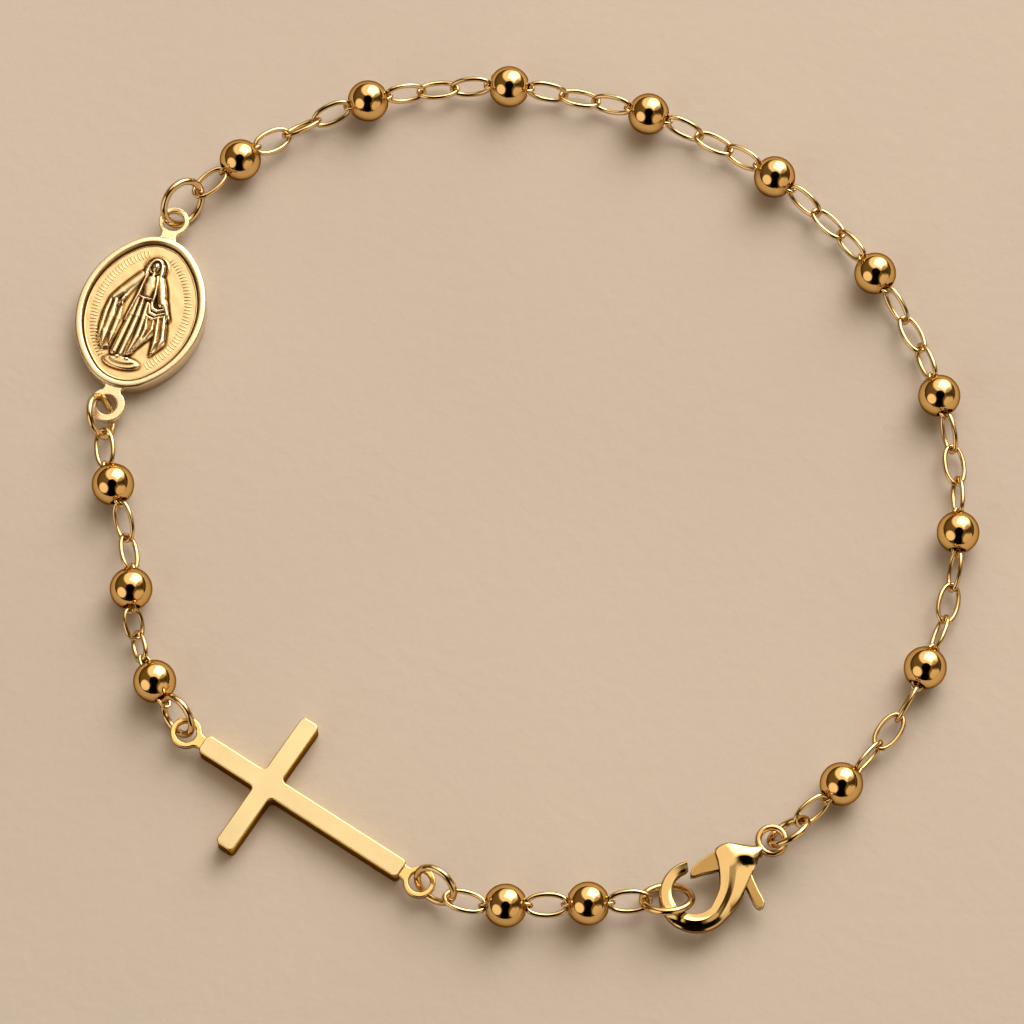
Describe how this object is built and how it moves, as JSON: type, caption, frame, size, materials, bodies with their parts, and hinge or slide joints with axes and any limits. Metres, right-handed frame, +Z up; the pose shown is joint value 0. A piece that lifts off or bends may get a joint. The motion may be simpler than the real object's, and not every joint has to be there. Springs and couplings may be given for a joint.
{
  "type": "rosary bracelet",
  "caption": "Gold-coloured rosary bracelet lying in a closed loop: round beads on fine oval links, an oval medal, a plain cross and a lobster clasp on jump rings.",
  "frame": {"origin": "on the surface it lies on, under the middle of the loop", "axes": "+Z up from the surface; the medal and the cross lie on the -X side, the clasp on the -Y side"},
  "size_m": [0.0664, 0.0672, 0.0036],
  "materials": {
    "medal_metal": "cast and lightly polished gold plate",
    "cross_metal": "fine satin gold plate with bright edges",
    "clasp_metal": "polished gold plate",
    "ring_wire": "polished gold plate",
    "chain_wire": "polished gold plate",
    "bead_metal": "mirror-polished gold plate"
  },
  "bodies": {
    "bracelet": {"medal": "medal_metal", "cross": "cross_metal", "clasp_body": "clasp_metal", "medal_top_ring": "ring_wire", "medal_bottom_ring": "ring_wire", "cross_top_ring": "ring_wire", "cross_bottom_ring": "ring_wire", "clasp_ring": "ring_wire", "hook_ring": "ring_wire", "decade_chain_a": "chain_wire", "decade_chain_b": "chain_wire", "front_chain": "chain_wire", "side_chain": "chain_wire", "bead_01": "bead_metal", "bead_02": "bead_metal", "bead_03": "bead_metal", "bead_04": "bead_metal", "bead_05": "bead_metal", "bead_06": "bead_metal", "bead_07": "bead_metal", "bead_08": "bead_metal", "bead_09": "bead_metal", "bead_10": "bead_metal", "bead_11": "bead_metal", "bead_12": "bead_metal", "bead_13": "bead_metal", "bead_14": "bead_metal", "bead_15": "bead_metal"},
    "lever": {"clasp_lever": "clasp_metal"}
  },
  "joints": [
    {"name": "lever_swing", "type": "hinge", "parent": "bracelet", "child": "lever", "pos_m": [0.01466, -0.028, 0.0015], "axis": [0, 0, 1], "range_deg": [0, 24], "stiffness_Nm_per_rad": 0.0004, "springref_deg": -17.19}
  ]
}
